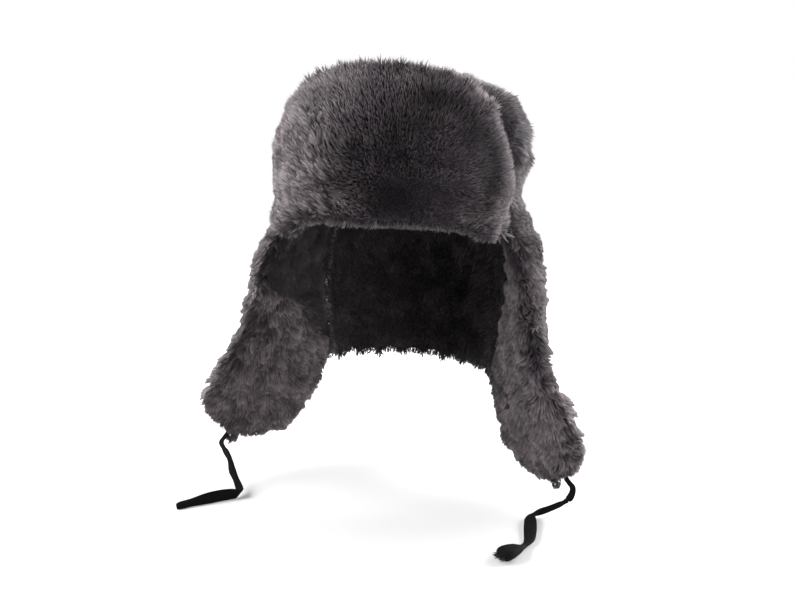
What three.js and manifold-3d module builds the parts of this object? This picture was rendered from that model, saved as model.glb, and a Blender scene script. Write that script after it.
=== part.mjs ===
// Fur hat with a turned-up front flap, two hanging ear flaps, a neck flap and two tie ribbons.
// Millimetres. +Z is up, the front faces -Y and the wearer's left is +X.
// The origin is where the top of a head bears against the inside of the crown.
import * as THREE from "three";
import { mergeVertices } from "three/addons/utils/BufferGeometryUtils.js";
import Module from "manifold-3d";

const wasm = await Module();
wasm.setup();

// Driving dimensions
const HEAD_HALF_WIDTH = 82;
const HEAD_HALF_LENGTH = 100;
const CROWN_DEPTH = 105;
const WALL = 3;
const PIECE_GAP = 0.4;
const FLAP_REST_GAP = 0.8;
const SEAM_Z = -96;
const TILT_DEG = 3;
const LOCK_WIDTH = 26;
const LOCK_LENGTH = 27;
const LOCK_RELIEF = 7;
const TIE_DIAMETER = 4.4;
const TIE_SIDES = 8;
const TIE_STEP = 10;

// The crown's cloth wall: how round its plan and its shoulder are
const SHOULDER_POWER = 2.8;
const PLAN_POWER = 2.4;
const CROWN_COLUMNS = 36;
const CROWN_LEVELS = 7;

// Outer form of the crown's fur: half width and half length where it is free,
// and where the front flap lies against it and presses it flat.
const CROWN_FUR_COLUMNS = 66;
const CROWN_FUR_ROWS = [
  { z: SEAM_Z, freeA: 101, freeB: 115, pressedA: 86.8, pressedB: 104.8 },
  { z: -90, freeA: 104, freeB: 119, pressedA: 89.5, pressedB: 106.5 },
  { z: -81, freeA: 104, freeB: 121, pressedA: 94, pressedB: 109 },
  { z: -71, freeA: 105, freeB: 123, pressedA: 98, pressedB: 111 },
  { z: -60, freeA: 109, freeB: 126, pressedA: 100, pressedB: 112.5 },
  { z: -48, freeA: 111, freeB: 127, pressedA: 100.5, pressedB: 113 },
  { z: -36, freeA: 111, freeB: 127, pressedA: 100, pressedB: 112.5 },
  { z: -24, freeA: 109.5, freeB: 125, pressedA: 98.5, pressedB: 110.5 },
  { z: -13, freeA: 106.5, freeB: 121, pressedA: 95.5, pressedB: 107 },
  { z: -3, freeA: 101.5, freeB: 115, pressedA: 91, pressedB: 101 },
  { z: 6, freeA: 94, freeB: 106, pressedA: 84.5, pressedB: 93 },
  { z: 13, freeA: 83, freeB: 93, pressedA: 76, pressedB: 84 },
  { z: 19, freeA: 66, freeB: 75, pressedA: 63, pressedB: 71 },
  { z: 23, freeA: 46, freeB: 52, pressedA: 46, pressedB: 52 },
  { z: 25, freeA: 23, freeB: 26, pressedA: 23, pressedB: 26 },
];
const CROWN_FUR_TOP_Z = 26;
const PRESSED_TO_DEG = 63;
const FREE_FROM_DEG = 73;

// Front flap, by the angle round the crown from the front. It narrows upward, it hangs lowest
// beside the temples, its side edges stand off the crown, and it is thickest where it is rolled
// up at the bottom.
const FRONT_FLAP_RINGS = 31;
const FRONT_FLAP_ROWS = [
  { deg: -67, bottom: -95, top: -69, thick: 19, lift: 5, roll: 3 },
  { deg: -61, bottom: -116, top: -52, thick: 25, lift: 3, roll: 9 },
  { deg: -54, bottom: -129, top: -28, thick: 26, lift: 2, roll: 9 },
  { deg: -47, bottom: -129, top: -7, thick: 26, lift: 1, roll: 7 },
  { deg: -36, bottom: -118, top: 6, thick: 27, lift: 0.3, roll: 4 },
  { deg: -18, bottom: -112, top: 12, thick: 28, lift: 0, roll: 1 },
  { deg: 0, bottom: -112, top: 14, thick: 28, lift: 0, roll: 0 },
  { deg: 18, bottom: -111, top: 12, thick: 28, lift: 0, roll: 0 },
  { deg: 36, bottom: -113, top: 7, thick: 27, lift: 0.3, roll: 1 },
  { deg: 47, bottom: -119, top: -5, thick: 25, lift: 1, roll: 2 },
  { deg: 54, bottom: -125, top: -26, thick: 25, lift: 2, roll: 3 },
  { deg: 61, bottom: -117, top: -51, thick: 22, lift: 3, roll: 3 },
  { deg: 66, bottom: -95, top: -68, thick: 17, lift: 5, roll: 0 },
];

// An ear flap, down from the rim seam: its front edge, its rear edge, how far its middle
// bows outward, and its thickness. The front edge swings outward as it hangs.
const EAR_FLAP_RINGS = 24;
const EAR_FLAP_ROWS = [
  { z: SEAM_Z - PIECE_GAP, frontX: 86, frontY: -45, rearX: 84, rearY: 52, bow: 12, thick: 20 },
  { z: -112, frontX: 98, frontY: -50, rearX: 92, rearY: 53, bow: 11, thick: 29 },
  { z: -136, frontX: 112, frontY: -57, rearX: 98.6, rearY: 53, bow: 7, thick: 29 },
  { z: -168, frontX: 123, frontY: -59, rearX: 101.4, rearY: 51.5, bow: 3, thick: 30 },
  { z: -200, frontX: 131, frontY: -61, rearX: 99.2, rearY: 49, bow: 0, thick: 29 },
  { z: -230, frontX: 145, frontY: -63, rearX: 92.6, rearY: 45.5, bow: -2, thick: 28 },
  { z: -258, frontX: 164, frontY: -64, rearX: 88, rearY: 43, bow: -4, thick: 29 },
  { z: -285, frontX: 176, frontY: -60, rearX: 97, rearY: 32, bow: -4, thick: 30 },
  { z: -308, frontX: 174, frontY: -50, rearX: 105, rearY: 22, bow: -3, thick: 28 },
  { z: -324, frontX: 162, frontY: -38, rearX: 114, rearY: 14, bow: -2, thick: 22 },
  { z: -333, frontX: 148, frontY: -22, rearX: 128, rearY: -2, bow: 0, thick: 12 },
];

// Neck flap: inner half width and half length, thickness and side edge by height
const NECK_FLAP_RINGS = 26;
const NECK_FLAP_ROWS = [
  { z: SEAM_Z - PIECE_GAP, innerA: 88, innerB: 106, thick: 12 },
  { z: -112, innerA: 90, innerB: 107, thick: 20 },
  { z: -135, innerA: 93, innerB: 108, thick: 25 },
  { z: -165, innerA: 95, innerB: 107, thick: 27 },
  { z: -200, innerA: 93, innerB: 102, thick: 27 },
  { z: -235, innerA: 88, innerB: 96, thick: 27 },
  { z: -263, innerA: 86, innerB: 92, thick: 26 },
];
const NECK_FLAP_FROM_DEG = 118;
const NECK_FLAP_TO_DEG = 242;

// Tie routes, from the corner of each ear flap down to the free end
const TIE_RIGHT_ROUTE = [
  [-178.2, -40.3, -319.8],
  [-179, -47, -323],
  [-171, -54, -328],
  [-164, -59.5, -334],
  [-158.5, -65.5, -342],
  [-151.5, -71.5, -348],
  [-145, -77.5, -355],
  [-144, -84.5, -357.6],
  [-151, -90, -357.6],
  [-161, -97, -357.6],
  [-172.5, -107, -357.6],
  [-183.5, -116, -357.6],
];
const TIE_LEFT_ROUTE = [
  [150.4, -44.6, -328],
  [153.6, -43.8, -332],
  [153.4, -43.8, -337],
  [151, -44.3, -343],
  [145.5, -45.6, -347],
  [134.7, -48.6, -352],
  [124, -51.5, -356.6],
  [120, -60, -357.6],
  [120.8, -72, -357.6],
  [121.5, -85, -357.6],
  [121.6, -101, -357.6],
  [117, -115, -357.6],
  [110.2, -126, -357.6],
  [104.4, -130.5, -357.6],
];

const furMaterial = (color) => new THREE.MeshStandardMaterial({ color, roughness: 0.95, metalness: 0 });
const CROWN_COLOR = 0x2a262b;
const FUR_COLOR = 0x575157;
const TIE_COLOR = 0x161616;

const radians = (deg) => (deg * Math.PI) / 180;
const mix = (a, b, t) => a + (b - a) * t;
const clamp01 = (t) => Math.min(1, Math.max(0, t));
const smooth = (t) => clamp01(t) ** 2 * (3 - 2 * clamp01(t));

// Row of a table at a value of its key column, on a smooth curve through the rows.
function rowAt(rows, key, value) {
  const rising = rows[rows.length - 1][key] > rows[0][key];
  const passed = rows.findIndex((row) => (rising ? row[key] >= value : row[key] <= value));
  const last = passed < 0 ? rows.length - 1 : Math.max(1, passed);
  const [before, from, to, after] = [last - 2, last - 1, last, last + 1].map(
    (i) => rows[Math.min(rows.length - 1, Math.max(0, i))],
  );
  const t = clamp01((value - from[key]) / (to[key] - from[key]));
  const slope = (low, high, column) =>
    ((high[column] - low[column]) / (high[key] - low[key])) * (to[key] - from[key]);
  const result = {};
  for (const column of Object.keys(from)) {
    const leave = slope(before, to, column);
    const arrive = slope(from, after, column);
    const cubic = 2 * t ** 3 - 3 * t ** 2;
    result[column] =
      from[column] * (cubic + 1) +
      leave * (t ** 3 - 2 * t ** 2 + t) -
      to[column] * cubic +
      arrive * (t ** 3 - t ** 2);
  }
  return result;
}

// Point at an angle round an oval, moved outward along the oval's normal.
function ovalPoint(halfWidth, halfLength, angle, z, out = 0) {
  const normal = new THREE.Vector3(Math.sin(angle) / halfWidth, -Math.cos(angle) / halfLength, 0);
  return new THREE.Vector3(halfWidth * Math.sin(angle), -halfLength * Math.cos(angle), z).addScaledVector(
    normal.normalize(),
    out,
  );
}

// Relief of the fur's overlapping locks, at a place across and down the nap: each lock
// rises from under the row above it to a narrow raised tip.
function lockRelief(across, down) {
  const row = Math.floor(down / LOCK_LENGTH);
  const shifted = across / LOCK_WIDTH + (row % 2 ? 0.5 : 0) + 0.13 * Math.sin(row * 2.3);
  const column = Math.floor(shifted);
  const side = 2 * (shifted - column) - 1;
  const along = down / LOCK_LENGTH - row;
  const fullness = 0.8 + 0.2 * Math.sin(column * 1.7 + row * 2.9);
  return LOCK_RELIEF * fullness * (along ** 1.5 * (1 - side * side) - 0.35);
}

// Closed skin through rings of equally many points; both ends close on their ring's middle.
function loft(rings) {
  const sides = rings[0].length;
  const points = rings.flat();
  const middle = (ring) =>
    ring.reduce((sum, point) => sum.add(point), new THREE.Vector3()).divideScalar(sides);
  points.push(middle(rings[0]), middle(rings[rings.length - 1]));
  const index = [];
  for (let side = 0; side < sides; side += 1) {
    const next = (side + 1) % sides;
    const lastRing = (rings.length - 1) * sides;
    index.push(points.length - 2, next, side, points.length - 1, lastRing + side, lastRing + next);
    for (let ring = 0; ring < rings.length - 1; ring += 1) {
      const [here, there] = [ring * sides, (ring + 1) * sides];
      index.push(here + side, here + next, there + side, here + next, there + next, there + side);
    }
  }
  const turned = new THREE.Vector3();
  let volume = 0;
  for (let i = 0; i < index.length; i += 3) {
    const [a, b, c] = [points[index[i]], points[index[i + 1]], points[index[i + 2]]];
    volume += a.dot(turned.crossVectors(b, c));
  }
  return new THREE.BufferGeometry().setFromPoints(points).setIndex(volume < 0 ? index.reverse() : index);
}

function toSolid(geometry) {
  const bare = geometry.clone();
  bare.deleteAttribute("normal");
  bare.deleteAttribute("uv");
  const merged = mergeVertices(bare, 1e-4);
  return new wasm.Manifold(
    new wasm.Mesh({
      numProp: 3,
      vertProperties: new Float32Array(merged.attributes.position.array),
      triVerts: new Uint32Array(merged.index.array),
    }),
  );
}

// Joins fur locks to their backing as one solid.
function fuse(backing, locks) {
  let solid = toSolid(backing);
  for (const lock of locks) solid = solid.add(toSolid(lock));
  const { vertProperties, triVerts } = solid.getMesh();
  return new THREE.BufferGeometry()
    .setAttribute("position", new THREE.BufferAttribute(vertProperties, 3))
    .setIndex(new THREE.BufferAttribute(triVerts, 1));
}

// One lock at an edge: a tapering wedge of four sides that bends from `along` towards `bend`.
function edgeLock(root, along, bend, across, length, width, thick) {
  const flat = new THREE.Vector3().crossVectors(along, across).normalize();
  const stations = [
    { at: -0.25, size: 0.8 },
    { at: 0.35, size: 0.9 },
    { at: 0.75, size: 0.62 },
    { at: 1, size: 0.2 },
  ];
  const rings = stations.map(({ at, size }) => {
    const centre = root
      .clone()
      .addScaledVector(along, at * length)
      .addScaledVector(bend, at * at * length * 0.25);
    return [0, 1, 2, 3].map((corner) => {
      const angle = (corner * Math.PI) / 2;
      return centre
        .clone()
        .addScaledVector(across, (Math.cos(angle) * size * width) / 2)
        .addScaledVector(flat, (Math.sin(angle) * size * thick) / 2);
    });
  });
  return loft(rings);
}

function addMesh(group, name, geometry, material) {
  const mesh = new THREE.Mesh(geometry, material);
  mesh.name = name;
  geometry.computeVertexNormals();
  group.add(mesh);
}

// How much of the wall's full half width is left at a share of its height.
const crownShare = (height) => (1 - clamp01(height) ** SHOULDER_POWER) ** (1 / PLAN_POWER);

// Rings of a cap surface that lies `out` beyond the head, from its rim to near its top.
function capRings(out, levels, columns) {
  const rings = [];
  for (let level = 0; level < levels; level += 1) {
    const height = Math.sin((level / (levels - 1)) * (Math.PI / 2)) * 0.9995;
    const share = crownShare(height);
    const z = mix(-CROWN_DEPTH, out, height);
    const ring = [];
    for (let column = 0; column < columns; column += 1) {
      const angle = (column / columns) * 2 * Math.PI;
      ring.push(
        ovalPoint((HEAD_HALF_WIDTH + out) * share, (HEAD_HALF_LENGTH + out) * share, angle, z),
      );
    }
    rings.push(ring);
  }
  return rings;
}

// The crown's wall, open below for the head.
function crownGeometry() {
  const inner = capRings(0, CROWN_LEVELS, CROWN_COLUMNS).reverse();
  const outer = capRings(WALL, CROWN_LEVELS, CROWN_COLUMNS);
  return loft([...inner, ...outer]);
}

// Fur round the crown's wall, in locks where it is free.
function crownFurGeometry() {
  const reach = WALL + PIECE_GAP;
  const inner = capRings(reach, CROWN_LEVELS, CROWN_FUR_COLUMNS).map((ring, level) => {
    if (level === 0) ring.forEach((point) => (point.z = SEAM_Z));
    return ring;
  });
  const outer = CROWN_FUR_ROWS.map((row, index) => {
    const down = (CROWN_FUR_ROWS.length - index) * 10;
    const ring = [];
    for (let column = 0; column < CROWN_FUR_COLUMNS; column += 1) {
      const deg = (column / CROWN_FUR_COLUMNS) * 360;
      const fromFront = Math.min(deg, 360 - deg);
      const free = smooth((fromFront - PRESSED_TO_DEG) / (FREE_FROM_DEG - PRESSED_TO_DEG));
      const onTop = smooth((row.z - 8) / 8);
      const clearOfSeam = smooth((row.z - SEAM_Z - 4) / 14);
      const relief = lockRelief(radians(deg) * 116, down) * Math.max(free, onTop) * clearOfSeam;
      ring.push(
        ovalPoint(
          mix(row.pressedA, row.freeA, free),
          mix(row.pressedB, row.freeB, free),
          radians(deg),
          row.z + relief * 0.5 * onTop,
          relief * (1 - 0.6 * onTop),
        ),
      );
    }
    return ring;
  });
  const topRing = outer[outer.length - 1].map(
    (point) => new THREE.Vector3(point.x / 9, point.y / 9, CROWN_FUR_TOP_Z),
  );
  return loft([...inner.reverse(), ...outer, topRing]);
}

// Places from -1 to 1 along a face, closer together towards its edges.
function faceSteps(count) {
  return Array.from({ length: count }, (_, i) => {
    const even = (2 * i) / (count - 1) - 1;
    return mix(even, Math.sin((even * Math.PI) / 2), 0.55);
  });
}

// How full a padded panel is at a place from edge to edge.
const fullness = (place) => Math.sqrt(1 - Math.min(1, Math.abs(place)) ** 5);

// Ring round a panel: its outer face from -1 to 1, then its inner face back.
function panelRing(outerSteps, innerSteps, pointAt) {
  const outer = faceSteps(outerSteps).map((place) => pointAt(place, 1));
  const inner = faceSteps(innerSteps)
    .slice(1, -1)
    .reverse()
    .map((place) => pointAt(place, -1));
  return [...outer, ...inner];
}

// The half width and half length that the front flap's inner face follows at a height.
function frontFlapSeat(z) {
  const row = rowAt(CROWN_FUR_ROWS, "z", Math.max(z, SEAM_Z));
  return { halfWidth: row.pressedA + FLAP_REST_GAP, halfLength: row.pressedB + FLAP_REST_GAP };
}

function frontFlapPoint(deg, place, side, relief) {
  const first = FRONT_FLAP_ROWS[0].deg;
  const last = FRONT_FLAP_ROWS[FRONT_FLAP_ROWS.length - 1].deg;
  const row = rowAt(FRONT_FLAP_ROWS, "deg", deg);
  const sideways = fullness((2 * (deg - first)) / (last - first) - 1);
  const z = mix((row.bottom + row.top) / 2, place > 0 ? row.top : row.bottom, Math.abs(place));
  const seat = frontFlapSeat(z);
  const lean = 1.08 - 0.38 * smooth((place + 0.6) / 1.6);
  const full = fullness(place) * mix(0.3, 1, sideways);
  const thick = row.thick * lean + row.roll * smooth(-place * 1.5);
  const out = row.lift + thick * (0.5 + (side * full) / 2);
  return ovalPoint(seat.halfWidth, seat.halfLength, radians(deg), z, out + relief);
}

// Front flap, turned up against the crown.
function frontFlapGeometry() {
  const first = FRONT_FLAP_ROWS[0].deg;
  const last = FRONT_FLAP_ROWS[FRONT_FLAP_ROWS.length - 1].deg;
  const rings = faceSteps(FRONT_FLAP_RINGS).map((step) => {
    const deg = mix(first, last, (step + 1) / 2);
    return panelRing(15, 10, (place, side) => {
      const down = (1 - place) * 62 + 40;
      const onFace = side > 0 ? smooth((1 - Math.abs(place)) * 5) * smooth((1 - Math.abs(step)) * 8) : 0;
      return frontFlapPoint(deg, place, side, lockRelief(radians(deg) * 125 + 400, down) * onFace);
    });
  });
  const locks = [];
  for (let deg = -50; deg <= 50; deg += 10) {
    const root = frontFlapPoint(deg, 0.93, 1, -6);
    const across = new THREE.Vector3(Math.cos(radians(deg)), Math.sin(radians(deg)), 0);
    const outward = new THREE.Vector3(Math.sin(radians(deg)), -Math.cos(radians(deg)), 0);
    const upward = new THREE.Vector3(0, 0, 1).addScaledVector(outward, 0.1).normalize();
    locks.push(edgeLock(root, upward, outward, across, 14, 22, 12));
  }
  return fuse(loft(rings), locks);
}

function earFlapPoint(row, place, side, relief) {
  const front = new THREE.Vector3(row.frontX, row.frontY, row.z);
  const rear = new THREE.Vector3(row.rearX, row.rearY, row.z);
  const outward = new THREE.Vector3(rear.y - front.y, front.x - rear.x, 0).normalize();
  const out = row.bow * (1 - place * place) + side * ((row.thick / 2) * fullness(place) + relief);
  return front.lerp(rear, (place + 1) / 2).addScaledVector(outward, out);
}

// The ear flap on the wearer's left, with locks round its lower edge.
function earFlapGeometry() {
  const topZ = EAR_FLAP_ROWS[0].z;
  const bottomZ = EAR_FLAP_ROWS[EAR_FLAP_ROWS.length - 1].z;
  const rings = Array.from({ length: EAR_FLAP_RINGS }, (_, i) => {
    const step = i / (EAR_FLAP_RINGS - 1);
    const row = rowAt(EAR_FLAP_ROWS, "z", mix(topZ, bottomZ, mix(step, Math.sin((step * Math.PI) / 2), 0.3)));
    const clearOfEnds = smooth((topZ - row.z - 8) / 14) * smooth((row.z - bottomZ) / 14);
    return panelRing(12, 11, (place, side) => {
      const onFace = clearOfEnds * smooth((1 - Math.abs(place)) * 5);
      return earFlapPoint(row, place, side, lockRelief(place * 58 + 300, topZ - row.z) * onFace);
    });
  });
  const locks = [];
  const down = new THREE.Vector3(0, 0, -1);
  const addLock = (z, place, sideways) => {
    const row = rowAt(EAR_FLAP_ROWS, "z", z);
    const towards = new THREE.Vector3(row.frontX - row.rearX, row.frontY - row.rearY, 0).normalize();
    const along = towards.clone().multiplyScalar(sideways).addScaledVector(down, 0.8).normalize();
    const across = new THREE.Vector3(-towards.y, towards.x, 0);
    locks.push(edgeLock(earFlapPoint(row, place, 0, 0), along, down, across, 12, 20, 13));
  };
  for (const z of [-214, -234, -254, -274, -294]) addLock(z, -0.88, 0.55);
  for (const z of [-268, -288, -305]) addLock(z, 0.88, -0.55);
  for (const place of [-0.75, -0.1, 0.6]) addLock(-322, place, -0.3 * place);
  return fuse(loft(rings), locks);
}

function neckFlapPoint(deg, place, side, relief) {
  const rows = NECK_FLAP_ROWS;
  const z = mix(rows[rows.length - 1].z, rows[0].z, (place + 1) / 2);
  const row = rowAt(rows, "z", z);
  const across = (2 * (deg - NECK_FLAP_FROM_DEG)) / (NECK_FLAP_TO_DEG - NECK_FLAP_FROM_DEG) - 1;
  const sideways = mix(0.3, 1, fullness(across));
  const full = (place < 0 ? fullness(place) : 1) * sideways;
  const out = row.thick * (0.5 + (side * full) / 2) + relief;
  return ovalPoint(row.innerA, row.innerB, radians(deg), z, out);
}

// Neck flap, which hangs from the rim seam at the back between the ear flaps.
function neckFlapGeometry() {
  const rings = faceSteps(NECK_FLAP_RINGS).map((step) => {
    const deg = mix(NECK_FLAP_FROM_DEG, NECK_FLAP_TO_DEG, (step + 1) / 2);
    const ring = panelRing(14, 9, (place, side) => {
      const onFace = smooth((1 - Math.abs(place)) * 5) * smooth((1 - Math.abs(step)) * 7);
      const relief = side * lockRelief(radians(deg) * 112, (1 - place) * 84) * onFace;
      return neckFlapPoint(deg, place, side, relief);
    });
    ring.push(neckFlapPoint(deg, -1, -1, 0).lerp(neckFlapPoint(deg, -0.97, -1, 0), 0.5));
    return ring;
  });
  const locks = [];
  for (let deg = 126; deg <= 234; deg += 13.5) {
    const root = neckFlapPoint(deg, -0.93, 0, 0);
    const across = new THREE.Vector3(Math.cos(radians(deg)), Math.sin(radians(deg)), 0);
    const outward = new THREE.Vector3(Math.sin(radians(deg)), -Math.cos(radians(deg)), 0);
    locks.push(edgeLock(root, new THREE.Vector3(0, 0, -1), outward, across, 13, 24, 15));
  }
  return fuse(loft(rings), locks);
}

// A tie as a plain tube along its route.
function tieGeometry(route) {
  const path = new THREE.CatmullRomCurve3(
    route.map(([x, y, z]) => new THREE.Vector3(x, y, z)),
    false,
    "centripetal",
  );
  const section = new THREE.Shape(
    Array.from({ length: TIE_SIDES }, (_, side) => {
      const angle = ((side + 0.5) / TIE_SIDES) * 2 * Math.PI;
      return new THREE.Vector2(Math.cos(angle), Math.sin(angle)).multiplyScalar(TIE_DIAMETER / 2);
    }),
  );
  const steps = Math.round(path.getLength() / TIE_STEP);
  return new THREE.ExtrudeGeometry(section, { steps, extrudePath: path, bevelEnabled: false });
}

// The same geometry for the wearer's right side.
function mirrored(geometry) {
  const other = geometry.index ? geometry.toNonIndexed() : geometry.clone();
  const position = other.attributes.position;
  for (let i = 0; i < position.count; i += 3) {
    const [a, b, c] = [0, 1, 2].map((k) => new THREE.Vector3().fromBufferAttribute(position, i + k));
    [a, c, b].forEach((point, k) => position.setXYZ(i + k, -point.x, point.y, point.z));
  }
  other.deleteAttribute("normal");
  return mergeVertices(other, 1e-4);
}

// The hat sits tilted to the wearer's left on the head; the ties hang plumb beside it.
const ushanka = new THREE.Group();
ushanka.name = "ushanka";
const hat = new THREE.Group();
hat.rotation.y = radians(TILT_DEG);
ushanka.add(hat);
addMesh(hat, "crown", crownGeometry(), furMaterial(CROWN_COLOR));
addMesh(hat, "crown_fur", crownFurGeometry(), furMaterial(FUR_COLOR));
addMesh(hat, "front_flap", frontFlapGeometry(), furMaterial(FUR_COLOR));
const earFlap = earFlapGeometry();
addMesh(hat, "ear_flap_left", earFlap, furMaterial(FUR_COLOR));
addMesh(hat, "ear_flap_right", mirrored(earFlap), furMaterial(FUR_COLOR));
addMesh(hat, "neck_flap", neckFlapGeometry(), furMaterial(FUR_COLOR));
addMesh(ushanka, "tie_left", tieGeometry(TIE_LEFT_ROUTE), furMaterial(TIE_COLOR));
addMesh(ushanka, "tie_right", tieGeometry(TIE_RIGHT_ROUTE), furMaterial(TIE_COLOR));

export default ushanka;
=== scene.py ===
# Looks of a fur hat with a turned-up front flap, hanging ear flaps, a neck flap and two ties.
# Metres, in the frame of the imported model: +Z up, front towards -Y, the wearer's left is +X.
import math

import bpy
import numpy as np
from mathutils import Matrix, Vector
from mathutils.bvhtree import BVHTree
from mathutils.kdtree import KDTree


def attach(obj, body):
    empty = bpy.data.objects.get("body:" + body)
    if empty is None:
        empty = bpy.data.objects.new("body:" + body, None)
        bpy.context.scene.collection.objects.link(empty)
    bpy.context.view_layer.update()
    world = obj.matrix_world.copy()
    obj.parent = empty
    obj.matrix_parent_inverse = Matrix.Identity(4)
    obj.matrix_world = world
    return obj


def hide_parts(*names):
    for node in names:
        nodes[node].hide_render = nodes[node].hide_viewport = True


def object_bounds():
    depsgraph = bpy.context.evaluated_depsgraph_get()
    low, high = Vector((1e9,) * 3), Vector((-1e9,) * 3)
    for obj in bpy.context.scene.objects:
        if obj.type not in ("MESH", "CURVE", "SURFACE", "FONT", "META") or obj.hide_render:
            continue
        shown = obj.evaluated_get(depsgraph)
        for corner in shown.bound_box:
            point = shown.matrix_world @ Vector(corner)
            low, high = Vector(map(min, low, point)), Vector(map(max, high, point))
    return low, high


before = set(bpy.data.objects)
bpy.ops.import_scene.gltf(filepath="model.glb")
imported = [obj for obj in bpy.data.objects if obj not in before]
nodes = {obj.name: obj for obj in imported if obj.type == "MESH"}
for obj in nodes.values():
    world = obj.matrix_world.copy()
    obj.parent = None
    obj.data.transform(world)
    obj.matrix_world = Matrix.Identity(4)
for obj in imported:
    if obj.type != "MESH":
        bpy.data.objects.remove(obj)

MM = 0.001
cad_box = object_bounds()

# Camera: how the photograph was taken
CAMERA_TURN_DEG = 15
CAMERA_DOWN_DEG = 9.3
CAMERA_DISTANCE = 0.650
CAMERA_HEIGHT = -0.074
CAMERA_SIDESTEP = -0.014
FOCAL_MM = 31.74
SENSOR_MM = 36

# Backing of the pile: its depth under the outer form, the most that it takes of a flap's
# thickness, and how it runs out to the solid's own face beside another piece
HIDE_DEPTH = 9 * MM
HIDE_VOXEL = 3.6 * MM
HIDE_SHARE = 0.34
SEAM_NEAR = 7 * MM
SEAM_FADE = 5 * MM
SEAM_SKIN = 0.6 * MM
SEAM_REACH = 14 * MM
NEARNESS_LIMIT = 22 * MM

# Hairs: how far single ones stand past the outer form, and their width, which is coarser than
# real so that fewer of them cover the backing
FRINGE = 2.5 * MM
HAIR_WIDTH = 0.8 * MM
# Their lengths: the longest, the shortest that is kept, and the shortest before trimming
LONGEST_HAIR = 25 * MM
SHORTEST_HAIR = 4 * MM
SHORTEST_UNTRIMMED = 8 * MM
# At a seam a hair reaches this much further to meet the neighbour, and this far into it at most
BRIDGE = 13 * MM
INTO_NEIGHBOUR = 5 * MM
# Hair ends follow the form averaged over this distance, and leave it by no more than the slack
FORM_SPACING = 16 * MM
FORM_SLACK = 8 * MM
# A hair leans less than it is told up to its bend, and more from there to its tip
BEND_AT = 0.55
LEAN_BELOW_BEND = 0.6
LEAN_ABOVE_BEND = 1.35
# How far a hair's normals turn from the skin's normal, to its sides and to its tip
ROUND_SIDES = 0.55
ROUND_TIP = 0.5
# Sizes of the waves in the nap's direction, the lean, the length and the tone
NAP_WAVES = 34 * MM
LEAN_WAVES = 22 * MM
LENGTH_WAVES = 12 * MM
TONE_WAVES = 42 * MM
# How far apart clumps of each size are, and how strongly they draw their tips together
CLUMPS = [(2.2 * MM, 0.34), (5 * MM, 0.24), (13 * MM, 0.08)]

# Surface that the ties lie on
FLOOR_Z = cad_box[0].z - 0.4 * MM


def linear(hex_colour):
    """sRGB hex to the linear colour that a shader takes."""
    parts = [int(hex_colour[i : i + 2], 16) / 255 for i in (1, 3, 5)]
    return tuple(c / 12.92 if c <= 0.04045 else ((c + 0.055) / 1.055) ** 2.4 for c in parts) + (1,)


def unit(vectors):
    return vectors / np.maximum(np.linalg.norm(vectors, axis=-1, keepdims=True), 1e-12)


def smooth(values):
    clipped = np.clip(values, 0, 1)
    return clipped * clipped * (3 - 2 * clipped)


def rise(values, start, end):
    """Smoothly from 0 at start to 1 at end."""
    return smooth((values - start) / (end - start))


def waves(points, size, seed):
    """A smooth random field from -1 to 1 whose humps are about this size apart."""
    dice = np.random.default_rng(seed)
    total = np.zeros(len(points))
    count = 7
    for _ in range(count):
        direction = unit(dice.normal(size=3)) * (2 * math.pi / size) * dice.uniform(0.6, 1.5)
        total += np.sin(points @ direction + dice.uniform(0, 2 * math.pi))
    return np.clip(total / math.sqrt(count), -1, 1)


def deselect():
    bpy.ops.object.select_all(action="DESELECT")


def make_active(piece):
    deselect()
    piece.select_set(True)
    bpy.context.view_layer.objects.active = piece


def apply_modifier(piece, kind, **settings):
    make_active(piece)
    modifier = piece.modifiers.new(kind.title(), kind)
    for key, value in settings.items():
        setattr(modifier, key, value)
    bpy.ops.object.modifier_apply(modifier=modifier.name)


def merged_copy(node, name):
    """A copy of a solid of the frame as one closed skin."""
    piece = bpy.data.objects.new(name, nodes[node].data.copy())
    piece.data.materials.clear()
    bpy.context.scene.collection.objects.link(piece)
    make_active(piece)
    bpy.ops.object.mode_set(mode="EDIT")
    bpy.ops.mesh.select_all(action="SELECT")
    bpy.ops.mesh.remove_doubles(threshold=0.01 * MM)
    bpy.ops.object.mode_set(mode="OBJECT")
    return piece


def vertex_array(mesh, attribute="co"):
    values = np.empty(len(mesh.vertices) * 3, np.float32)
    mesh.vertices.foreach_get(attribute, values)
    return values.reshape(-1, 3).astype(float)


def triangle_array(mesh):
    mesh.calc_loop_triangles()
    corners = np.empty(len(mesh.loop_triangles) * 3, np.int32)
    mesh.loop_triangles.foreach_get("vertices", corners)
    return corners.reshape(-1, 3)


def search_tree(mesh):
    return BVHTree.FromPolygons(vertex_array(mesh).tolist(), triangle_array(mesh).tolist())


solid_trees = {name: search_tree(node.data) for name, node in nodes.items()}


def add_node(tree, kind, settings=None, **links):
    """Adds one shader node with its settings; links name its inputs, as values or (node, output)."""
    node = tree.nodes.new(kind)
    for key, value in (settings or {}).items():
        setattr(node, key, value)
    for key, value in links.items():
        socket = node.inputs[int(key[1:])] if key[1:].isdigit() else node.inputs[key.replace("_", " ")]
        if isinstance(value, tuple) and isinstance(value[0], bpy.types.Node):
            tree.links.new(value[0].outputs[value[1]], socket)
        else:
            socket.default_value = value
    return node


def ramp(tree, factor, stops):
    node = add_node(tree, "ShaderNodeValToRGB", i0=factor)
    elements = node.color_ramp.elements
    while len(elements) < len(stops):
        elements.new(0.5)
    for element, (place, colour) in zip(elements, stops):
        element.position = place
        element.color = linear(colour)
    return node


def new_material(name):
    material = bpy.data.materials.new(name)
    material.use_nodes = True
    return material, material.node_tree, material.node_tree.nodes["Principled BSDF"]


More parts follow.
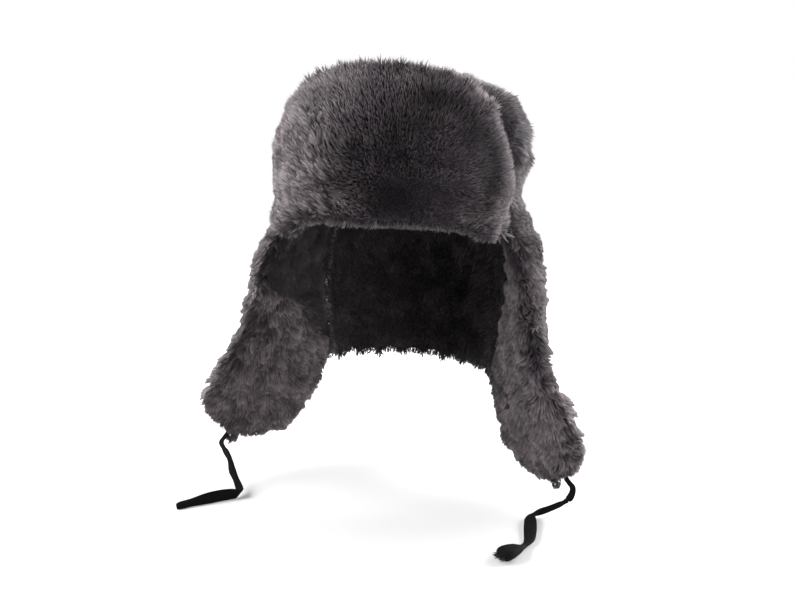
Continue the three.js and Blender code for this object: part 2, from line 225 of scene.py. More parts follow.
def hair_material():
    """Acrylic plush hair: dark where it is rooted, partly its own colour and partly painted shade deep
    in the pile, pale and slightly glossy at its tip.
    """
    material, tree, shader = new_material("acrylic_plush_hair")
    place = add_node(tree, "ShaderNodeUVMap", {"uv_map": "hair"})
    split = add_node(tree, "ShaderNodeSeparateXYZ", i0=(place, 0))
    # Along each hair: darker at the root, partly painted shade deep in the pile
    along = ramp(
        tree,
        (split, "Y"),
        [(0.0, "#2a252a"), (0.4, "#39333a"), (0.7, "#524b51"), (0.9, "#7e7779"), (1.0, "#b2abaa")],
    )
    # Across hairs: each hair's tone, random and painted light and shade together, from the map's X
    shade = ramp(tree, (split, "X"), [(0.0, "#2e272f"), (0.5, "#b4afb2"), (1.0, "#fffcf8")])
    mixed = add_node(
        tree,
        "ShaderNodeMix",
        {"data_type": "RGBA", "blend_type": "MULTIPLY"},
        i0=1.0,
        i6=(along, 0),
        i7=(shade, 0),
    )
    tree.links.new(mixed.outputs[2], shader.inputs["Base Color"])
    shader.inputs["Roughness"].default_value = 0.7
    shader.inputs["Specular IOR Level"].default_value = 0.25
    shader.inputs["Sheen Weight"].default_value = 0.22
    shader.inputs["Sheen Roughness"].default_value = 0.45
    shader.inputs["Sheen Tint"].default_value = linear("#f0eaec")
    return material


def hide_material():
    """Knitted backing full of cut hair ends: nearly black between the hairs, grainy at 1.5 mm."""
    material, tree, shader = new_material("pile_backing")
    place = add_node(tree, "ShaderNodeTexCoord")
    grain = add_node(
        tree, "ShaderNodeTexNoise", i0=(place, "Object"), Scale=1 / (1.5 * MM), Detail=3.0
    )
    colour = ramp(tree, (grain, 0), [(0.3, "#241f24"), (0.7, "#3b353b")])
    tree.links.new(colour.outputs[0], shader.inputs["Base Color"])
    bump = add_node(tree, "ShaderNodeBump", Strength=0.6, Distance=0.8 * MM, Height=(grain, 0))
    tree.links.new(bump.outputs[0], shader.inputs["Normal"])
    shader.inputs["Roughness"].default_value = 0.9
    return material


def cloth_material():
    """Plain woven cotton: matte, with threads 0.6 mm apart."""
    material, tree, shader = new_material("woven_cotton")
    place = add_node(tree, "ShaderNodeTexCoord")
    threads = add_node(
        tree, "ShaderNodeTexNoise", i0=(place, "Object"), Scale=1 / (0.6 * MM), Detail=2.0
    )
    colour = ramp(tree, (threads, 0), [(0.3, "#1c191d"), (0.7, "#353036")])
    tree.links.new(colour.outputs[0], shader.inputs["Base Color"])
    bump = add_node(tree, "ShaderNodeBump", Strength=0.5, Distance=0.3 * MM, Height=(threads, 0))
    tree.links.new(bump.outputs[0], shader.inputs["Normal"])
    shader.inputs["Roughness"].default_value = 0.85
    return material


def ribbon_material():
    """Black twill ribbon: fine slanting ribs 1.1 mm apart with a little sheen on them."""
    material, tree, shader = new_material("twill_ribbon")
    place = add_node(tree, "ShaderNodeUVMap", {"uv_map": "ribbon"})
    ribs = add_node(
        tree,
        "ShaderNodeTexWave",
        {"bands_direction": "DIAGONAL"},
        i0=(place, 0),
        Scale=0.32,
        Distortion=0.6,
        Detail=1.0,
    )
    colour = ramp(tree, (ribs, 1), [(0.2, "#030303"), (0.8, "#0f0e10")])
    tree.links.new(colour.outputs[0], shader.inputs["Base Color"])
    bump = add_node(tree, "ShaderNodeBump", Strength=0.7, Distance=0.25 * MM, Height=(ribs, 1))
    tree.links.new(bump.outputs[0], shader.inputs["Normal"])
    shader.inputs["Roughness"].default_value = 0.8
    shader.inputs["Specular IOR Level"].default_value = 0.08
    return material


def thread_material():
    """Loose black cotton thread from a cut ribbon end."""
    material, _, shader = new_material("cotton_thread")
    shader.inputs["Base Color"].default_value = linear("#0d0c0e")
    shader.inputs["Roughness"].default_value = 0.8
    return material


def add_camera():
    turn, down = math.radians(CAMERA_TURN_DEG), math.radians(CAMERA_DOWN_DEG)
    back = Vector((math.sin(turn), -math.cos(turn), 0))
    right = Vector((math.cos(turn), math.sin(turn), 0))
    place = CAMERA_DISTANCE * back + Vector((0, 0, CAMERA_HEIGHT)) + CAMERA_SIDESTEP * right
    forward = -back * math.cos(down) + Vector((0, 0, -math.sin(down)))
    bpy.ops.object.camera_add(location=place)
    camera = bpy.context.object
    camera.rotation_euler = forward.to_track_quat("-Z", "Y").to_euler()
    camera.data.sensor_width = SENSOR_MM
    camera.data.lens = FOCAL_MM
    bpy.context.scene.camera = camera


def add_softbox(azimuth_deg, height, distance, size, power):
    """A square soft light facing the hat's middle; azimuth 0 is in front, +90 the wearer's left."""
    turn = math.radians(azimuth_deg)
    target = Vector((0, 0, -0.12))
    place = target + Vector((math.sin(turn) * distance, -math.cos(turn) * distance, height))
    bpy.ops.object.light_add(type="AREA", location=place)
    lamp = bpy.context.object
    lamp.rotation_euler = (target - place).to_track_quat("-Z", "Y").to_euler()
    lamp.data.size = size
    lamp.data.energy = power
    lamp.visible_camera = False


def add_studio():
    """Pale floor, white surroundings, and soft lights at both sides, behind and above."""
    bpy.ops.mesh.primitive_plane_add(size=40, location=(0, 0, FLOOR_Z))
    floor = bpy.context.object
    floor.name = "studio_floor"
    material, tree, shader = new_material("white_paper")
    shader.inputs["Base Color"].default_value = linear("#c4c4c4")
    shader.inputs["Roughness"].default_value = 0.9
    shader.inputs["Emission Color"].default_value = linear("#ffffff")
    place = add_node(tree, "ShaderNodeTexCoord")
    # The floor whitens between 0.25 and 0.8 m from the hat, as far as the camera sees it
    far = add_node(tree, "ShaderNodeVectorMath", {"operation": "LENGTH"}, i0=(place, "Object"))
    whiter = add_node(tree, "ShaderNodeMapRange", i0=(far, "Value"), i1=0.25, i2=0.8, i3=0.1, i4=1.0)
    path = add_node(tree, "ShaderNodeLightPath")
    glow = add_node(
        tree, "ShaderNodeMath", {"operation": "MULTIPLY"}, i0=(path, "Is Camera Ray"), i1=(whiter, 0)
    )
    tree.links.new(glow.outputs[0], shader.inputs["Emission Strength"])
    floor.data.materials.append(material)
    world = bpy.data.worlds.new("studio")
    bpy.context.scene.world = world
    world.use_nodes = True
    tree = world.node_tree
    tree.nodes.clear()
    seen = add_node(tree, "ShaderNodeBackground", Color=(1, 1, 1, 1), Strength=1.0)
    fill = add_node(tree, "ShaderNodeBackground", Color=(1, 1, 1, 1), Strength=0.12)
    path = add_node(tree, "ShaderNodeLightPath")
    both = add_node(
        tree, "ShaderNodeMixShader", i0=(path, "Is Camera Ray"), i1=(fill, 0), i2=(seen, 0)
    )
    add_node(tree, "ShaderNodeOutputWorld", Surface=(both, 0))
    add_softbox(azimuth_deg=-70, height=0.6, distance=1.1, size=0.8, power=38)
    add_softbox(azimuth_deg=122, height=0.35, distance=1.2, size=1.0, power=42)
    add_softbox(azimuth_deg=50, height=0.1, distance=1.3, size=0.9, power=12)
    add_softbox(azimuth_deg=-178, height=0.9, distance=0.9, size=1.4, power=42)
    bpy.context.scene.view_settings.view_transform = "Standard"


def nearness(points, neighbours):
    """Distance from each place to the nearest neighbouring solid, up to a limit."""
    near = np.full(len(points), NEARNESS_LIMIT)
    for other in neighbours:
        tree = solid_trees[other]
        for i, point in enumerate(points):
            met = tree.find_nearest(Vector(point), near[i])
            if met[0] is not None:
                near[i] = met[3]
    return near


def hide_for(node, neighbours, evening, material):
    """The backing under the pile: the solid's form without its locks, drawn in by the pile's depth.

    Beside another piece it runs out to the solid's own face instead, so that no seam gapes.
    """
    hide = merged_copy(node, node + "_hide")
    apply_modifier(hide, "REMESH", mode="VOXEL", voxel_size=HIDE_VOXEL)
    apply_modifier(hide, "SMOOTH", factor=0.5, iterations=evening)
    tree = search_tree(hide.data)
    solid = solid_trees[node]
    places = vertex_array(hide.data)
    normals = vertex_array(hide.data, "normal")
    free = rise(nearness(places, neighbours), SEAM_NEAR, SEAM_NEAR + SEAM_FADE)
    depths = np.empty(len(places))
    for i, (place, normal) in enumerate(zip(places, normals)):
        behind = Vector(-normal)
        hit = tree.ray_cast(Vector(place) + behind * 0.5 * MM, behind, 100 * MM)
        through = hit[3] if hit[0] is not None else 100 * MM
        nearest, face_normal, _, away = solid.find_nearest(Vector(place))
        inside = away if (nearest - Vector(place)).dot(face_normal) > 0 else -away
        depths[i] = np.clip(HIDE_DEPTH * free[i] - inside, 0, HIDE_SHARE * through)
        if free[i] < 1:
            met = solid.ray_cast(Vector(place), Vector(normal), SEAM_REACH)
            room = met[3] if inside > 0 and met[0] is not None else inside
            depths[i] = free[i] * depths[i] - (1 - free[i]) * (room - SEAM_SKIN)
    drawn_in = places - normals * depths[:, None]
    hide.data.vertices.foreach_set("co", drawn_in.astype(np.float32).ravel())
    hide.data.update()
    apply_modifier(hide, "SMOOTH", factor=0.5, iterations=3)
    make_active(hide)
    bpy.ops.object.shade_smooth()
    hide.data.materials.append(material)
    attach(hide, "root")
    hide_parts(node)
    return hide


def spread_roots(mesh, count, dice):
    """Hair roots spread evenly over a skin, with the skin's normal at each."""
    places, normals, corners = vertex_array(mesh), vertex_array(mesh, "normal"), triangle_array(mesh)
    a, b, c = (places[corners[:, k]] for k in range(3))
    areas = np.linalg.norm(np.cross(b - a, c - a), axis=1) / 2
    edges = np.concatenate([[0], np.cumsum(areas)])
    steps = (np.arange(count) + dice.random(count)) / count * edges[-1]
    face = np.clip(np.searchsorted(edges, steps) - 1, 0, len(corners) - 1)
    u, v = dice.random(count), dice.random(count)
    over = u + v > 1
    u[over], v[over] = 1 - u[over], 1 - v[over]
    weights = np.stack([1 - u - v, u, v], -1)[:, :, None]
    return (
        (places[corners[face]] * weights).sum(1),
        unit((normals[corners[face]] * weights).sum(1)),
        edges[-1],
    )


def point_tree(points):
    tree = KDTree(len(points))
    for i, point in enumerate(points):
        tree.insert(point, i)
    tree.balance()
    return tree


def evened(values, points, area, spacing, dice):
    """The values averaged over this distance along the skin."""
    seeds = points[dice.choice(len(points), max(8, int(area / spacing**2)), replace=False)]
    tree = point_tree(seeds)
    found = [tree.find_n(point, 5) for point in points]
    index = np.array([[one[1] for one in near] for near in found])
    weight = np.exp(-((np.array([[one[2] for one in near] for near in found]) / (0.6 * spacing)) ** 2))
    weight /= np.maximum(weight.sum(1, keepdims=True), 1e-9)
    total, share = np.zeros(len(seeds)), np.zeros(len(seeds))
    np.add.at(total, index, weight * values[:, None])
    np.add.at(share, index, weight)
    return ((total / np.maximum(share, 1e-9))[index] * weight).sum(1)


def gather(tips, roots, area, spacing, pull, dice):
    """Draws the tips of neighbouring hairs together into clumps this far apart."""
    count = min(max(8, int(area / spacing**2)), len(roots))
    seeds = dice.choice(len(roots), count, replace=False)
    tree = point_tree(roots[seeds])
    middle = seeds[[tree.find(root)[1] for root in roots]]
    towards = tips[middle] + (roots - roots[middle]) * 0.15
    strength = np.clip(pull * (0.7 + 0.6 * dice.random(len(roots))[middle]), 0, 0.95)
    return tips + (towards - tips) * strength[:, None], middle


def hair_mesh(name, roots, middles, tips, sides, normals, shades, material):
    """Joins hairs into one mesh. A hair is a slim closed kite, bent at its middle."""
    count = len(roots)
    corner = np.stack([roots, middles - sides, middles + sides, tips], 1)
    box = np.einsum(
        "ij,ij->i",
        np.cross(corner[:, 1] - corner[:, 0], corner[:, 2] - corner[:, 0]),
        corner[:, 3] - corner[:, 0],
    )
    turned = box < 0
    corner[turned, 1], corner[turned, 2] = corner[turned, 2].copy(), corner[turned, 1].copy()
    out = np.stack([normals, normals, normals, normals], 1)
    across = unit(sides) * np.where(turned, -1, 1)[:, None]
    out[:, 1] -= ROUND_SIDES * across
    out[:, 2] += ROUND_SIDES * across
    out[:, 3] += ROUND_TIP * unit(tips - roots)
    faces = np.array([[0, 2, 1], [1, 2, 3], [0, 1, 3], [0, 3, 2]])
    index = (np.arange(count)[:, None, None] * 4 + faces).reshape(-1)
    mesh = bpy.data.meshes.new(name)
    mesh.vertices.add(count * 4)
    mesh.vertices.foreach_set("co", corner.astype(np.float32).ravel())
    mesh.loops.add(len(index))
    mesh.loops.foreach_set("vertex_index", index.astype(np.int32))
    mesh.polygons.add(len(index) // 3)
    mesh.polygons.foreach_set("loop_start", np.arange(0, len(index), 3, dtype=np.int32))
    mesh.update(calc_edges=True)
    shade = np.clip(shades, 0.02, 0.98)
    step = 0.012
    chart = np.stack(
        [
            np.stack([shade, np.full(count, 0.01)], 1),
            np.stack([shade - step, np.full(count, BEND_AT)], 1),
            np.stack([shade + step, np.full(count, BEND_AT)], 1),
            np.stack([shade, np.full(count, 0.99)], 1),
        ],
        1,
    ).reshape(-1, 2)[index]
    for map_name in ("hair", "OFBake"):
        mesh.uv_layers.new(name=map_name).data.foreach_set("uv", chart.astype(np.float32).ravel())
    mesh.shade_smooth()
    mesh.normals_split_custom_set_from_vertices(unit(out.reshape(-1, 3)).astype(np.float32))
    piece = bpy.data.objects.new(name, mesh)
    piece.data.materials.append(material)
    bpy.context.scene.collection.objects.link(piece)
    return piece


def nothing(points, normals=None):
    return np.zeros(len(points))


def grow_pile(
    node,
    hide,
    neighbours,
    count,
    lean_deg,
    seed,
    nap_of,
    calm=nothing,
    painted_light=nothing,
    longer=nothing,
    seam_lean=0.5,
):
    """Hairs from the backing out to the solid's outer form, leaning along the nap.

    calm gives, for each root, how smooth and upright the pile is there, from 1 down to 0 or,
    where it is curly, less, and calm pile is also made darker with painted shade; tone, the painted
    light and shade, how much lighter or darker its hairs are, from -1 to 1, and longer how much longer
    they are. Beside another piece the lean is seam_lean times as large.
    """
    dice = np.random.default_rng(seed)
    roots, normals, area = spread_roots(hide.data, count, dice)
    still = calm(roots)
    nap = nap_of(roots)
    stray = np.stack([waves(roots, NAP_WAVES, seed + k) for k in range(3)], 1)
    nap = nap + (0.5 - 0.3 * still)[:, None] * stray + 0.3 * dice.normal(size=(count, 3))
    nap = unit(nap - (nap * normals).sum(1, keepdims=True) * normals)
    others = [solid_trees[other] for other in neighbours]
    away_from_seam = rise(nearness(roots, neighbours), 6 * MM, 18 * MM)
    lean = lean_deg * (seam_lean + (1 - seam_lean) * away_from_seam) * (1 - 0.6 * still)
    lean += 10 * waves(roots, LEAN_WAVES, seed + 9) * (1 - 0.5 * still)
    lean = np.radians(lean + dice.normal(0, 5, count))[:, None]
    rising, falling = (
        normals * np.cos(lean * share) + nap * np.sin(lean * share)
        for share in (LEAN_BELOW_BEND, LEAN_ABOVE_BEND)
    )
    heading = unit(rising + falling)
    own = np.empty(count)
    solid = solid_trees[node]
    for i in range(count):
        hit = solid.ray_cast(Vector(roots[i]), Vector(heading[i]), LONGEST_HAIR)
        own[i] = hit[3] if hit[0] is not None else HIDE_DEPTH
    mean = evened(own, roots, area, FORM_SPACING, dice)
    lengths = 0.08 * own + 0.92 * np.clip(mean, own - FORM_SLACK, own + FORM_SLACK)
    lengths *= 1 + (0.12 - 0.1 * still) * waves(roots, LENGTH_WAVES, seed + 15)
    lengths += FRINGE * dice.random(count) ** 1.5 + longer(roots) * dice.uniform(0.5, 1.2, count)
    lengths = np.maximum(lengths, SHORTEST_UNTRIMMED)
    for i in range(count):
        start, way = Vector(roots[i]), Vector(heading[i])
        for other in others:
            met = other.ray_cast(start, way, lengths[i] + BRIDGE)
            if met[0] is not None:
                lengths[i] = met[3] + INTO_NEIGHBOUR * dice.random()
    kept = lengths > SHORTEST_HAIR
    roots, normals, rising, falling = roots[kept], normals[kept], rising[kept], falling[kept]
    still = still[kept]
    lengths = np.minimum(lengths[kept], LONGEST_HAIR)[:, None]
    middles = roots + rising * lengths * BEND_AT
    tips = middles + falling * lengths * (1 - BEND_AT)
    first = tips
    loose = 1 - 0.75 * still
    mottle = np.zeros(len(roots))
    for spacing, pull in CLUMPS:
        tips, clump = gather(tips, roots, area, spacing, pull * loose, dice)
        mottle += dice.normal(0, 0.1, len(roots))[clump]
    middles = middles + (tips - first) * 0.42
    axis = unit(tips - roots)
    flat = unit(np.cross(axis, normals))
    edge = np.cross(axis, flat)
    spin = dice.normal(0, 0.9, len(roots))[:, None]
    width = HAIR_WIDTH * (0.65 + 0.7 * dice.random(len(roots)))[:, None]
    sides = (flat * np.cos(spin) + edge * np.sin(spin)) * width / 2
    shades = 0.5 + 0.14 * waves(roots, TONE_WAVES, seed + 5) + mottle * loose
    # Random tone per hair, and painted shade: calm pile is made darker, curly pile a little lighter
    shades += dice.normal(0, 0.1, len(roots)) * (1 - 0.5 * still) - 0.1 * still
    # Painted light and shade, lighter or darker by where each root lies
    shades += 0.4 * painted_light(roots, normals)
    pile = hair_mesh(node + "_pile", roots, middles, tips, sides, normals, shades, hair)
    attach(pile, "root")
    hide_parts(node)


def crown_nap(points):
    """Back and outward over the top, then down the sides."""
    way = np.stack([points[:, 0] * 6, points[:, 1] * 6 + 0.35, np.full(len(points), -0.9)], 1)
    return unit(way)


def front_flap_nap(points):
    """Up, and out towards the flap's side edges."""
    return unit(np.stack([points[:, 0] * 5, np.zeros(len(points)), np.ones(len(points))], 1))


# Lines on the front flap and the wearer's left ear flap, as places in mm: the fold's ridge, made pale
# with painted light, the valley inside it, made dark with painted shade, and the crest where the hair
# of the ear flap parts, also made pale with painted light
FOLD_RIDGE = [(66, -88, 4), (81, -82, -10), (91, -75, -25), (95, -72, -45), (97, -70, -65)]
FOLD_RIDGE += [(94, -76, -90)]
FOLD_VALLEY = [(0, -125, 0), (33, -113, -2), (55, -108, -13), (72, -103, -28), (85, -94, -45)]
FOLD_VALLEY += [(88, -92, -70), (84, -88, -108)]
EAR_CREST = [(97, -37, -172), (104, -49, -187), (110, -57, -202), (115, -59, -218)]
EAR_CREST += [(121, -63, -233), (125, -59, -252), (130, -57, -269), (137, -56, -291), (152, -55, -318)]
# Where the painted shade on the inner part of an ear flap ends: height, then distance from the hat's
# middle, in mm
SHADED_INNER_EDGE = [(-265, 88), (-240, 106), (-205, 117), (-170, 126), (-133, 133)]
SHADED_INNER_EDGE_LEFT_MOST = 90


def beside_line(points, line, reach):
    """The direction away from a line, and how near each point is to it, from 0 to 1."""
    corners = np.array(line) * MM
    nearest = np.full(len(points), 1.0)
    away = np.zeros(points.shape)
    for start, end in zip(corners[:-1], corners[1:]):
        step = end - start
        along = np.clip((points - start) @ step / (step @ step), 0, 1)
        offset = points - start - along[:, None] * step
        distance = np.linalg.norm(offset, axis=1)
        closer = distance < nearest
        nearest[closer], away[closer] = distance[closer], offset[closer]
    return unit(away), np.exp(-((nearest / reach) ** 2))


def front_flap_calm(points):
    """Pressed smooth over the front and fine at the top edge, curly to the wearer's right."""
    x, y, z = points.T / MM
    pressed = (1 - rise(np.hypot((x - 35) / 78, (z + 50) / 62), 0.6, 1.1)) * (y < 0)
    curly = rise(x, -8, -38) * rise(z, -12, -32)
    return np.maximum(pressed, 0.8 * rise(z, -22, -10)) - 0.6 * curly


def front_flap_painted_light(points, normals):
    """Painted light and shade: pale at the top edge, to the wearer's right and on the fold, where
    light falls, and dark with painted shade in its valley and below.
    """
    x, _, z = points.T / MM
    top = rise(z, -20, -10) * rise(normals[:, 2], 0.3, 0.8)
    under = rise(normals[:, 2], -0.2, -0.8)
    ridge, valley = (beside_line(points, line, 11 * MM)[1] for line in (FOLD_RIDGE, FOLD_VALLEY))
    return top + 0.3 * rise(x, -12, -72) - 0.7 * under + 1.1 * ridge - 1.2 * valley * (1 - top)


def front_flap_longer(points):
    """Long hair stands along the top edge, at its corners and on the fold."""
    x, _, z = points.T / MM
    corner = np.exp(-((np.hypot(np.abs(x) - 70, z + 12) / 16) ** 2))
    fold = beside_line(points, FOLD_RIDGE, 8 * MM)[1]
    return (5 * rise(z, -2, 10) + 5 * corner + 3 * fold) * MM


def crown_painted_shade(points, normals):
    """Painted shade: darker in front on the wearer's left, where the turned-up flap shades the crown.
    """
    x, y, _ = points.T / MM
    return -0.45 * rise(x, 60, 90) * rise(y, 10, -20)


def crown_longer(points):
    """Shorter high on the wearer's left, longer along the lower edge, where it hides the seam."""
    x, y, z = points.T / MM
    high = rise(x, 40, 70) * rise(z, -50, -30)
    seam = rise(y, -30, -10) * rise(z, -96, -108)
    return (6 * seam - 4 * high) * MM


def neck_painted_shade(points, normals):
    """Painted shade: darker on the flap's inner side, which lies in shade."""
    out = unit(points[:, :2])
    return -0.8 * smooth(-(out * normals[:, :2]).sum(1) * 1.5)


def ear_painted_light(points, normals):
    """Painted shade on the inner side, more of it high up under the front flap, painted light low
    down, and a painted highlight on the crest.
    """
    x, _, z = points.T / MM
    heights, edges = np.transpose(SHADED_INNER_EDGE)
    edge = np.interp(z, heights, edges)
    edge = np.where(x > 0, np.minimum(edge, SHADED_INNER_EDGE_LEFT_MOST), edge)
    # Painted shade over the inner side of each ear flap
    inner_shade = rise(np.abs(x), edge + 4, edge - 8) * rise(np.sign(x) * normals[:, 0], 0.4, -0.2)
    low = rise(z, -190, -230) * np.where(x > 0, 0.15, 1)
    high = rise(z, -150, -110)
    crest = beside_line(points, EAR_CREST, 9 * MM)[1]
    return 0.65 * crest + 0.3 * low * (1 - inner_shade) - np.maximum(1.8 * inner_shade, 0.5 * high)


def ear_longer(points):
    """Longer on the wearer's right and on the other flap's crest and lower front, not at its tip."""
    x, y, z = points.T / MM
    right = (x < 0) * rise(z, -290, -270) * rise(z, -110, -130)
    lower = (x > 0) * (y < -20) * rise(z, -235, -255) * rise(z, -300, -280)
    tip = (x > 0) * rise(z, -306, -316)
    crest = beside_line(points, EAR_CREST, 10 * MM)[1]
    return (3 * (right + crest + lower) - 5 * tip) * MM


def neck_calm(points):
    """Fairly smooth all over."""
    return np.full(len(points), 0.4)


def ear_calm(points):
    """A little curly all over."""
    return np.full(len(points), -0.3)


def hanging_nap(hide, fan, crest=0):
    """Down, fanning from the flap's middle line to its edges and away from a crest."""
    places = vertex_array(hide.data)
    bands, fewest = 14, 8
    heights = np.linspace(places[:, 2].min(), places[:, 2].max(), bands)
    band = np.digitize(places[:, 2], heights)
    rows = [b for b in range(1, bands) if (band == b).sum() > fewest]
    levels = [places[band == b, 2].mean() for b in rows]
    middle = np.array([places[band == b, :2].mean(0) for b in rows])

    def nap_of(points):
        sideways = np.stack(
            [points[:, k] - np.interp(points[:, 2], levels, middle[:, k]) for k in range(2)], 1
        )
        away, near = beside_line(points, EAR_CREST, 22 * MM)
        hanging = np.concatenate([sideways * fan, np.full((len(points), 1), -1.0)], 1)
        return unit(hanging + away * crest * near[:, None])

    return nap_of


# Ties, from the corner of each ear flap down to the free end: place, width and thickness in mm,
# then the direction of the ribbon's width, as an angle round +Z from +X and an angle up from level.
TIE_RIGHT_ROUTE = [
    (-177.0, -36.0, -316.0, 4.0, 2.4, 20, 0),
    (-178.6, -41.5, -319.8, 4.2, 2.6, 20, 10),
    (-179, -47, -323, 5.0, 2.2, 15, 20),
    (-174, -52, -326.5, 4.2, 2.8, 5, 30),
    (-170, -55, -329, 6.2, 2.2, -10, 20),
    (-164, -59.5, -334, 5.0, 2.8, 0, 10),
    (-158.5, -65.5, -342, 7.0, 2.0, 10, 5),
    (-151.5, -71.5, -348, 6.0, 2.6, 10, 0),
    (-145, -77.5, -354, 7.5, 2.2, 5, 10),
    (-143.5, -83.5, -355.6, 8.5, 2.4, 20, 60),
    (-149, -88, -354.9, 10.0, 1.9, 60, 62),
    (-157, -94, -354.7, 10.5, 1.8, 70, 62),
    (-166, -101, -355.3, 10.0, 1.8, 75, 58),
    (-175.5, -109, -356.4, 7.5, 2.0, 75, 45),
    (-183.5, -116, -357.2, 7.0, 2.0, 70, 40),
    (-186, -118, -357.6, 4.5, 1.6, 70, 40),
]
TIE_LEFT_ROUTE = [
    (147.5, -44.5, -324, 4.0, 2.4, 0, 20),
    (150.8, -44.6, -328, 4.4, 2.4, 0, 25),
    (153.6, -43.8, -332, 5.0, 2.2, 0, 30),
    (153.4, -43.8, -337, 5.5, 2.2, 10, 25),
    (151, -44.3, -342.4, 6.5, 2.2, 15, 35),
    (147.4, -45.2, -345.6, 3.6, 3.4, 20, 50),
    (142.8, -46.4, -348, 5.0, 2.4, 30, 65),
    (134.7, -48.6, -351.6, 5.4, 2.2, 30, 70),
    (126, -51, -355, 6.0, 2.2, 20, 60),
    (120.2, -56, -356.3, 5.0, 3.0, 10, 20),
    (120, -62, -356.4, 9.5, 2.2, 5, 10),
    (120.8, -73, -357.0, 11.0, 1.8, 2, 4),
    (121.5, -86, -357.2, 10.5, 1.8, 0, 8),
    (121.4, -98, -357.2, 8.5, 2.2, -8, 12),
    (118, -109, -357.0, 5.0, 3.2, -25, 20),
    (113.5, -117, -355.2, 11.0, 6.0, -34, 10),
    (107.9, -126, -354.2, 14.5, 8.0, -42, 6),
    (104.2, -131, -354.6, 13.0, 7.0, -46, 0),
    (102.6, -133, -355.0, 6.0, 4.0, -46, 0),
]
TIE_CORNERS = 16
TIE_STEPS_PER_ROW = 12
LOOSE_THREADS = 90
THREAD_HALF_WIDTH = 0.35 * MM
# A tie's width bows by this much and its faces wrinkle, each over this length of the tie
TIE_BOW, TIE_BOW_LENGTH = 0.9 * MM, 9 * MM
TIE_CREASE, TIE_CREASE_LENGTH = 0.45 * MM, 7 * MM


def along_rows(rows, steps):
    """A smooth curve through table rows, as an array with all the rows' columns."""
    table = np.array(rows, float)
    ends = np.vstack([2 * table[0] - table[1], table, 2 * table[-1] - table[-2]])
    out = []
    for i in range(1, len(table)):
        before, start, end, after = ends[i - 1], ends[i], ends[i + 1], ends[i + 2]
        for t in np.arange(steps) / steps:
            out.append(
                0.5
                * (
                    2 * start
                    + (end - before) * t
                    + (2 * before - 5 * start + 4 * end - after) * t**2
                    + (3 * start - 3 * end + after - before) * t**3
                )
            )
    out.append(table[-1])
    return np.array(out)


def loose_threads(name, node, end, way, across, width, material, seed):
    """Threads that stand out of a tie's cut end, as slim closed kites in one mesh."""
    dice = np.random.default_rng(seed)
    count = LOOSE_THREADS
    place = dice.uniform(-0.5, 0.5, count)[:, None]
    roots = end + across * place * width + dice.normal(0, 0.4 * MM, (count, 3)) - way * 2 * MM
    heading = unit(way + across * place * 1.6 + dice.normal(0, 0.35, (count, 3)) * (1, 1, 0.5))
    tips = roots + heading * dice.uniform(3 * MM, 7 * MM, count)[:, None]
    tips[:, 2] = np.maximum(tips[:, 2], FLOOR_Z + 0.4 * MM)
    middles = (roots + tips) / 2 + dice.normal(0, 0.4 * MM, (count, 3))
    middles[:, 2] = np.maximum(middles[:, 2], FLOOR_Z + 0.5 * MM)
    flat = unit(np.cross(tips - roots, dice.normal(size=(count, 3))))
    sides, normals = flat * THREAD_HALF_WIDTH, np.tile((0, 0, 1.0), (count, 1))
    threads = hair_mesh(name, roots, middles, tips, sides, normals, np.full(count, 0.5), material)
    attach(threads, "root")
    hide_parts(node)
    return threads


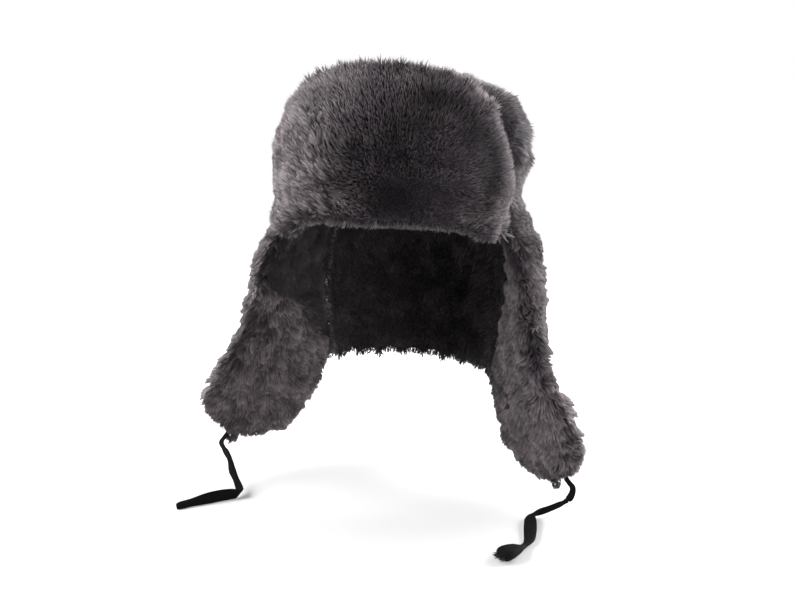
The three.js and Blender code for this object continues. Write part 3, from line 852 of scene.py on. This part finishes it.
def ribbon(name, node, rows, material, fray_material, frayed):
    """A soft tie as one closed strip that rolls, pinches and creases along its route."""
    track = along_rows(rows, TIE_STEPS_PER_ROW)
    path = track[:, :3] * MM
    tangent = unit(np.gradient(path, axis=0))
    turn, tilt = np.radians(track[:, 5]), np.radians(track[:, 6])
    across = np.stack([np.cos(turn) * np.cos(tilt), np.sin(turn) * np.cos(tilt), np.sin(tilt)], 1)
    across = unit(across - (across * tangent).sum(1, keepdims=True) * tangent)
    up = np.cross(tangent, across)
    angle = (np.arange(TIE_CORNERS) + 0.5) / TIE_CORNERS * 2 * math.pi
    section = np.stack([np.cos(angle), np.sin(angle)], 1)
    section = np.sign(section) * np.abs(section) ** 0.6
    length = np.concatenate([[0], np.cumsum(np.linalg.norm(np.diff(path, axis=0), axis=1))])
    bow = TIE_BOW * np.sin(length / TIE_BOW_LENGTH)[:, None] * (section[:, 0] ** 2 - 0.5)
    shift = 1.5 * np.sin(length / TIE_CREASE_LENGTH)[:, None]
    crease = TIE_CREASE * np.sin(5 * section[:, 0] + shift)
    crease *= (track[:, 3:4] / 10) * (1 - section[:, 0] ** 2)
    rings = (
        path[:, None]
        + across[:, None] * (section[:, 0] * track[:, 3:4] * MM / 2)[:, :, None]
        + up[:, None] * (section[:, 1] * track[:, 4:5] * MM / 2 + bow + crease)[:, :, None]
    )
    rings[:, :, 2] = np.maximum(rings[:, :, 2], FLOOR_Z + 0.3 * MM)
    count = len(path)
    vertices = rings.reshape(-1, 3)
    faces = []
    for ring in range(count - 1):
        for side in range(TIE_CORNERS):
            nxt = (side + 1) % TIE_CORNERS
            here, there = ring * TIE_CORNERS, (ring + 1) * TIE_CORNERS
            faces.append((here + side, here + nxt, there + nxt, there + side))
    faces.append(tuple(reversed(range(TIE_CORNERS))))
    faces.append(tuple((count - 1) * TIE_CORNERS + side for side in range(TIE_CORNERS)))
    mesh = bpy.data.meshes.new(name)
    mesh.from_pydata(vertices.tolist(), [], faces)
    chart = mesh.uv_layers.new(name="ribbon")
    for face in mesh.polygons:
        for loop in face.loop_indices:
            vertex = mesh.loops[loop].vertex_index
            ring, side = divmod(vertex, TIE_CORNERS)
            chart.data[loop].uv = (section[side, 0] * track[ring, 3] / 2, length[ring] / MM)
    piece = bpy.data.objects.new(name, mesh)
    bpy.context.scene.collection.objects.link(piece)
    make_active(piece)
    bpy.ops.object.mode_set(mode="EDIT")
    bpy.ops.mesh.select_all(action="SELECT")
    bpy.ops.mesh.normals_make_consistent(inside=False)
    bpy.ops.object.mode_set(mode="OBJECT")
    bpy.ops.object.shade_smooth()
    piece.data.materials.append(material)
    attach(piece, "root")
    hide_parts(node)
    if frayed:
        place = (path[-1], tangent[-1], across[-1], track[-1, 3] * MM)
        loose_threads(name + "_threads", node, *place, fray_material, seed=5)


def crown_cap(material):
    """The sewn cap inside the pile, with a smooth wall in place of the solid's flat facets."""
    cap = merged_copy("crown", "crown_cap")
    apply_modifier(cap, "SUBSURF", levels=2, render_levels=2)
    make_active(cap)
    bpy.ops.object.shade_smooth()
    cap.data.materials.append(material)
    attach(cap, "root")
    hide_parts("crown")


add_camera()
twill, thread = ribbon_material(), thread_material()
ribbon("tie_ribbon_right", "tie_right", TIE_RIGHT_ROUTE, twill, thread, frayed=False)
ribbon("tie_ribbon_left", "tie_left", TIE_LEFT_ROUTE, twill, thread, frayed=True)
add_studio()
crown_cap(cloth_material())

backing, hair = hide_material(), hair_material()
ears = ["ear_flap_left", "ear_flap_right"]

others = ["front_flap", "crown", "neck_flap"] + ears
hide = hide_for("crown_fur", others, 24, backing)
grow_pile(
    "crown_fur",
    hide,
    others,
    count=45000,
    lean_deg=30,
    seed=11,
    nap_of=crown_nap,
    painted_light=crown_painted_shade,
    longer=crown_longer,
    seam_lean=1.7,
)

others = ["crown_fur"] + ears
hide = hide_for("front_flap", others, 36, backing)
grow_pile(
    "front_flap",
    hide,
    others,
    count=47500,
    lean_deg=30,
    seed=23,
    nap_of=front_flap_nap,
    calm=front_flap_calm,
    painted_light=front_flap_painted_light,
    longer=front_flap_longer,
)

others = ["crown_fur"] + ears
hide = hide_for("neck_flap", others, 30, backing)
grow_pile(
    "neck_flap",
    hide,
    others,
    count=38000,
    lean_deg=42,
    seed=37,
    nap_of=hanging_nap(hide, fan=3),
    calm=neck_calm,
    painted_light=neck_painted_shade,
)

others = ["neck_flap", "front_flap", "crown_fur"]
for node, seed, crest in zip(ears, (41, 59), (1.8, 0)):
    hide = hide_for(node, others, 28, backing)
    grow_pile(
        node,
        hide,
        others,
        count=47500,
        lean_deg=40,
        seed=seed,
        nap_of=hanging_nap(hide, fan=14, crest=crest),
        calm=ear_calm,
        painted_light=ear_painted_light,
        longer=ear_longer,
    )
